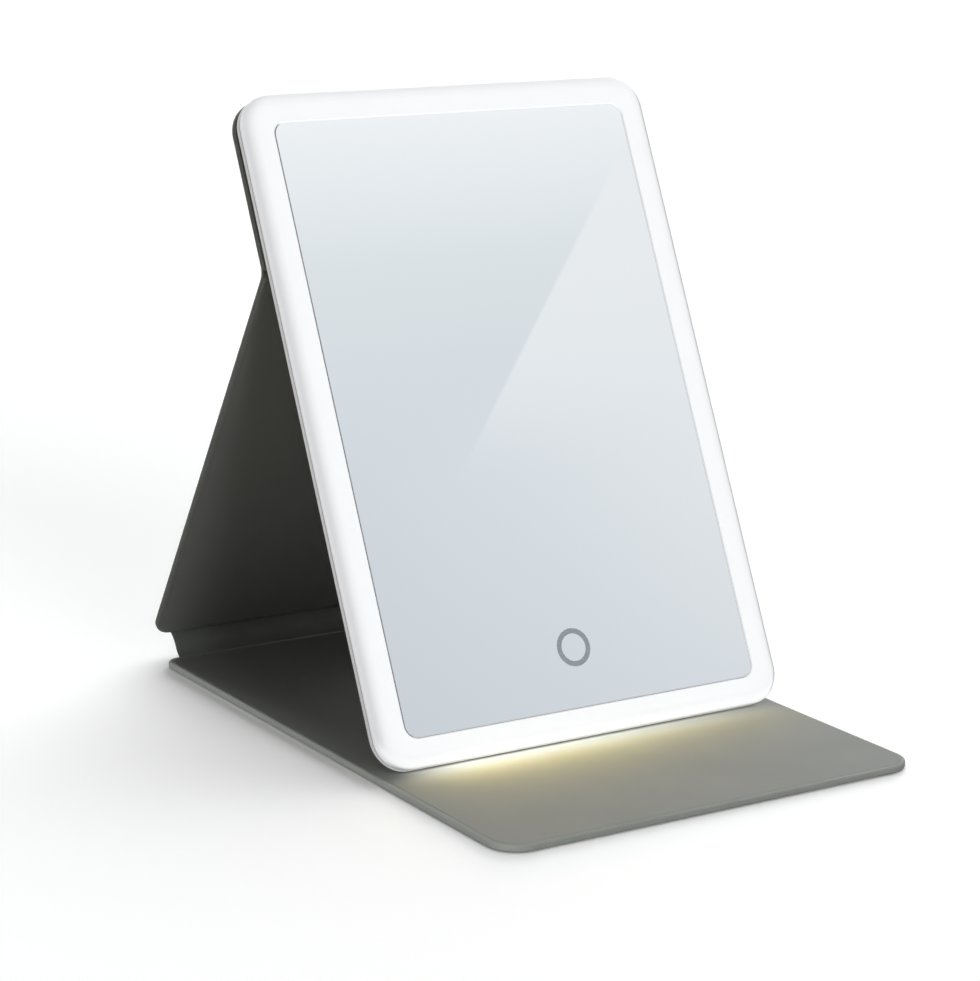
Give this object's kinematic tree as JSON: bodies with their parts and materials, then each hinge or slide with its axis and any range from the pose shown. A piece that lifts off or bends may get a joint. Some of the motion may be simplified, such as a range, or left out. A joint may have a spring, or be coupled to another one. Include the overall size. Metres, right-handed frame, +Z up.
{
  "type": "lighted makeup mirror",
  "caption": "Slim makeup mirror with a glowing frame, bonded to a folding leather-like cover that opens into a flat base, soft spine and rear leg.",
  "frame": {"origin": "middle of the underside of the front cover, on the table", "axes": "+Z up from the table, +Y to the back, towards the spine, +X to the right of the glass"},
  "size_m": [0.1504, 0.2287, 0.1993],
  "materials": {
    "mirror_silver": "silvered flat glass, polished",
    "touch_mark": "etched grey ring",
    "milky_plastic": "milky light diffuser, satin",
    "white_plastic": "moulded white plastic, fine satin",
    "adhesive": "clear adhesive sheet",
    "bond_foam": "closed foam sheet",
    "copper_foil": "bare copper foil",
    "contact_foam": "conductive cloth over foam",
    "strip_white": "white flexible circuit",
    "lamp_yellow": "clear resin over yellow phosphor",
    "cell_foil": "laminated pouch foil",
    "lead_red": "soft lead jacket",
    "board_green": "circuit board lacquer",
    "chip_black": "moulded chip",
    "socket_steel": "drawn steel shell",
    "magnet_nickel": "nickel plated magnet",
    "skin_grey": "grey leather-like skin, fine grain",
    "lining_grey": "grey leather-like lining, fine grain",
    "card_grey": "pressed grey card"
  },
  "bodies": {
    "cover": {"cover_skin": "skin_grey", "cover_card": "card_grey", "cover_lining": "lining_grey", "cover_magnets": "magnet_nickel"},
    "spine": {"spine_skin": "skin_grey", "spine_lining": "lining_grey"},
    "leg": {"leg_skin": "skin_grey", "leg_card": "card_grey", "leg_lining": "lining_grey"},
    "mirror": {"mirror_glass": "mirror_silver", "touch_ring": "touch_mark", "glass_tape": "adhesive", "glass_carrier": "white_plastic", "touch_pad": "copper_foil", "touch_contact": "contact_foam", "light_frame": "milky_plastic", "rear_housing": "white_plastic", "led_strip": "strip_white", "led_chips": "lamp_yellow", "battery_pad": "adhesive", "battery": "cell_foil", "battery_leads": "lead_red", "control_board": "board_green", "board_chips": "chip_black", "led_leads": "lead_red", "usb_socket": "socket_steel", "foot_magnets": "magnet_nickel", "upper_skin": "skin_grey", "upper_card": "card_grey", "upper_lining": "lining_grey", "bond_sheet": "bond_foam"}
  },
  "joints": [
    {"name": "spine_fold", "type": "hinge", "parent": "cover", "child": "spine", "pos_m": [0, 0.1102, 0.00055], "axis": [-1, 0, 0], "range_deg": [0, 34.1]},
    {"name": "leg_swing", "type": "hinge", "parent": "spine", "child": "leg", "pos_m": [0, 0.11869, 0.00904], "axis": [-1, 0, 0], "range_deg": [0, 88]},
    {"name": "mirror_fold", "type": "hinge", "parent": "leg", "child": "mirror", "pos_m": [0, 0.0329, 0.14587], "axis": [1, 0, 0], "range_deg": [0, 56.8]}
  ],
  "couplings": [
    {"joint": "spine_fold", "follows": "mirror_fold", "ratio": 0.6}
  ]
}
